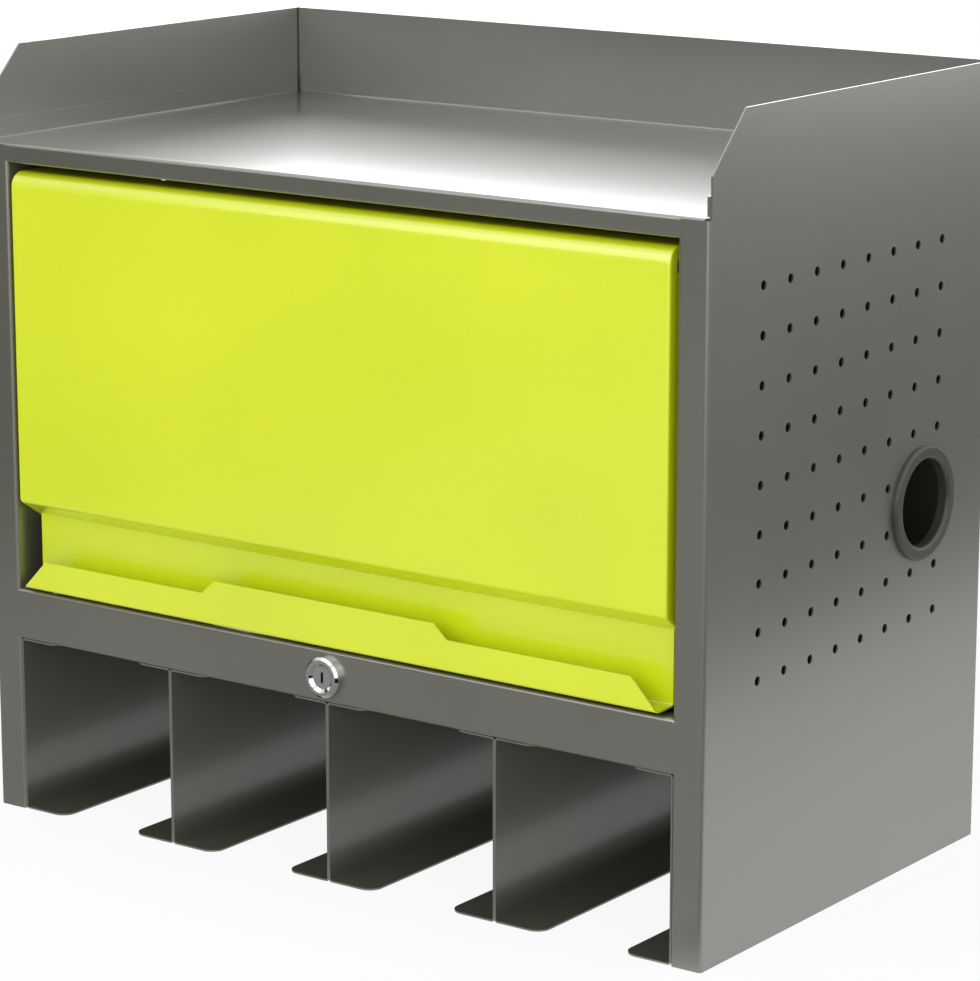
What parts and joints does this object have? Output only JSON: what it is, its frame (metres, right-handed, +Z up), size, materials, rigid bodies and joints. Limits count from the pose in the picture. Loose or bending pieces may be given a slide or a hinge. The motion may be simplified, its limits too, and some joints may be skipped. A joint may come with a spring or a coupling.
{
  "type": "tool cabinet",
  "caption": "Sheet-steel tool cabinet: open tray on top, compartment behind a lift-up door on friction stays, open tool slots underneath, pegboard sides.",
  "frame": {"origin": "bottom centre of the whole cabinet's box, with the grommets and the lock's head included", "axes": "+Z up, +X to the right seen from the front, +Y towards the back; the door faces -Y"},
  "size_m": [0.4864, 0.2846, 0.435],
  "materials": {
    "carcass": "satin powder coat",
    "door": "satin powder coat",
    "steel": "zinc plated",
    "nylon": "matte",
    "grommet": "satin",
    "lock": "polished"
  },
  "bodies": {
    "cabinet": {"left_side_panel": "carcass", "right_side_panel": "carcass", "back_panel": "carcass", "top_deck": "carcass", "floor_pan": "carcass", "slot_1_left_plate": "carcass", "slot_1_right_plate": "carcass", "slot_2_left_plate": "carcass", "slot_2_right_plate": "carcass", "slot_3_left_plate": "carcass", "slot_3_right_plate": "carcass", "slot_4_left_plate": "carcass", "slot_4_right_plate": "carcass", "grommet_left": "grommet", "grommet_right": "grommet", "hinge_pin_left": "steel", "hinge_pin_right": "steel", "hinge_washer_left": "nylon", "hinge_washer_right": "nylon", "hinge_clip_left": "steel", "hinge_clip_right": "steel", "stay_bracket_left": "steel", "stay_bracket_right": "steel", "stay_stud_left": "steel", "stay_stud_right": "steel", "stay_washer_left": "nylon", "stay_washer_right": "nylon", "lock_body": "lock", "lock_nut": "steel"},
    "door": {"door_skin": "door", "door_hinge_plate_left": "steel", "door_hinge_plate_right": "steel", "stay_pivot_pin_left": "steel", "stay_pivot_pin_right": "steel"},
    "left_stay": {"stay_arm_left": "steel"},
    "right_stay": {"stay_arm_right": "steel"},
    "lock_core": {"lock_plug": "lock", "lock_cam": "steel", "cam_screw": "steel"}
  },
  "joints": [
    {"name": "door_lift", "type": "hinge", "parent": "cabinet", "child": "door", "pos_m": [0, -0.12675, 0.358], "axis": [-1, 0, 0], "range_deg": [0, 85]},
    {"name": "stay_left_fold", "type": "hinge", "parent": "door", "child": "left_stay", "pos_m": [-0.213, -0.12675, 0.258], "axis": [1, 0, 0], "range_deg": [0, 42.5]},
    {"name": "stay_right_fold", "type": "hinge", "parent": "door", "child": "right_stay", "pos_m": [0.213, -0.12675, 0.258], "axis": [1, 0, 0], "range_deg": [0, 42.5]},
    {"name": "lock_turn", "type": "hinge", "parent": "cabinet", "child": "lock_core", "pos_m": [0, -0.13775, 0.1155], "axis": [0, -1, 0], "range_deg": [0, 90]}
  ],
  "couplings": [
    {"joint": "stay_left_fold", "follows": "door_lift", "ratio": 0.5},
    {"joint": "stay_right_fold", "follows": "door_lift", "ratio": 0.5}
  ]
}
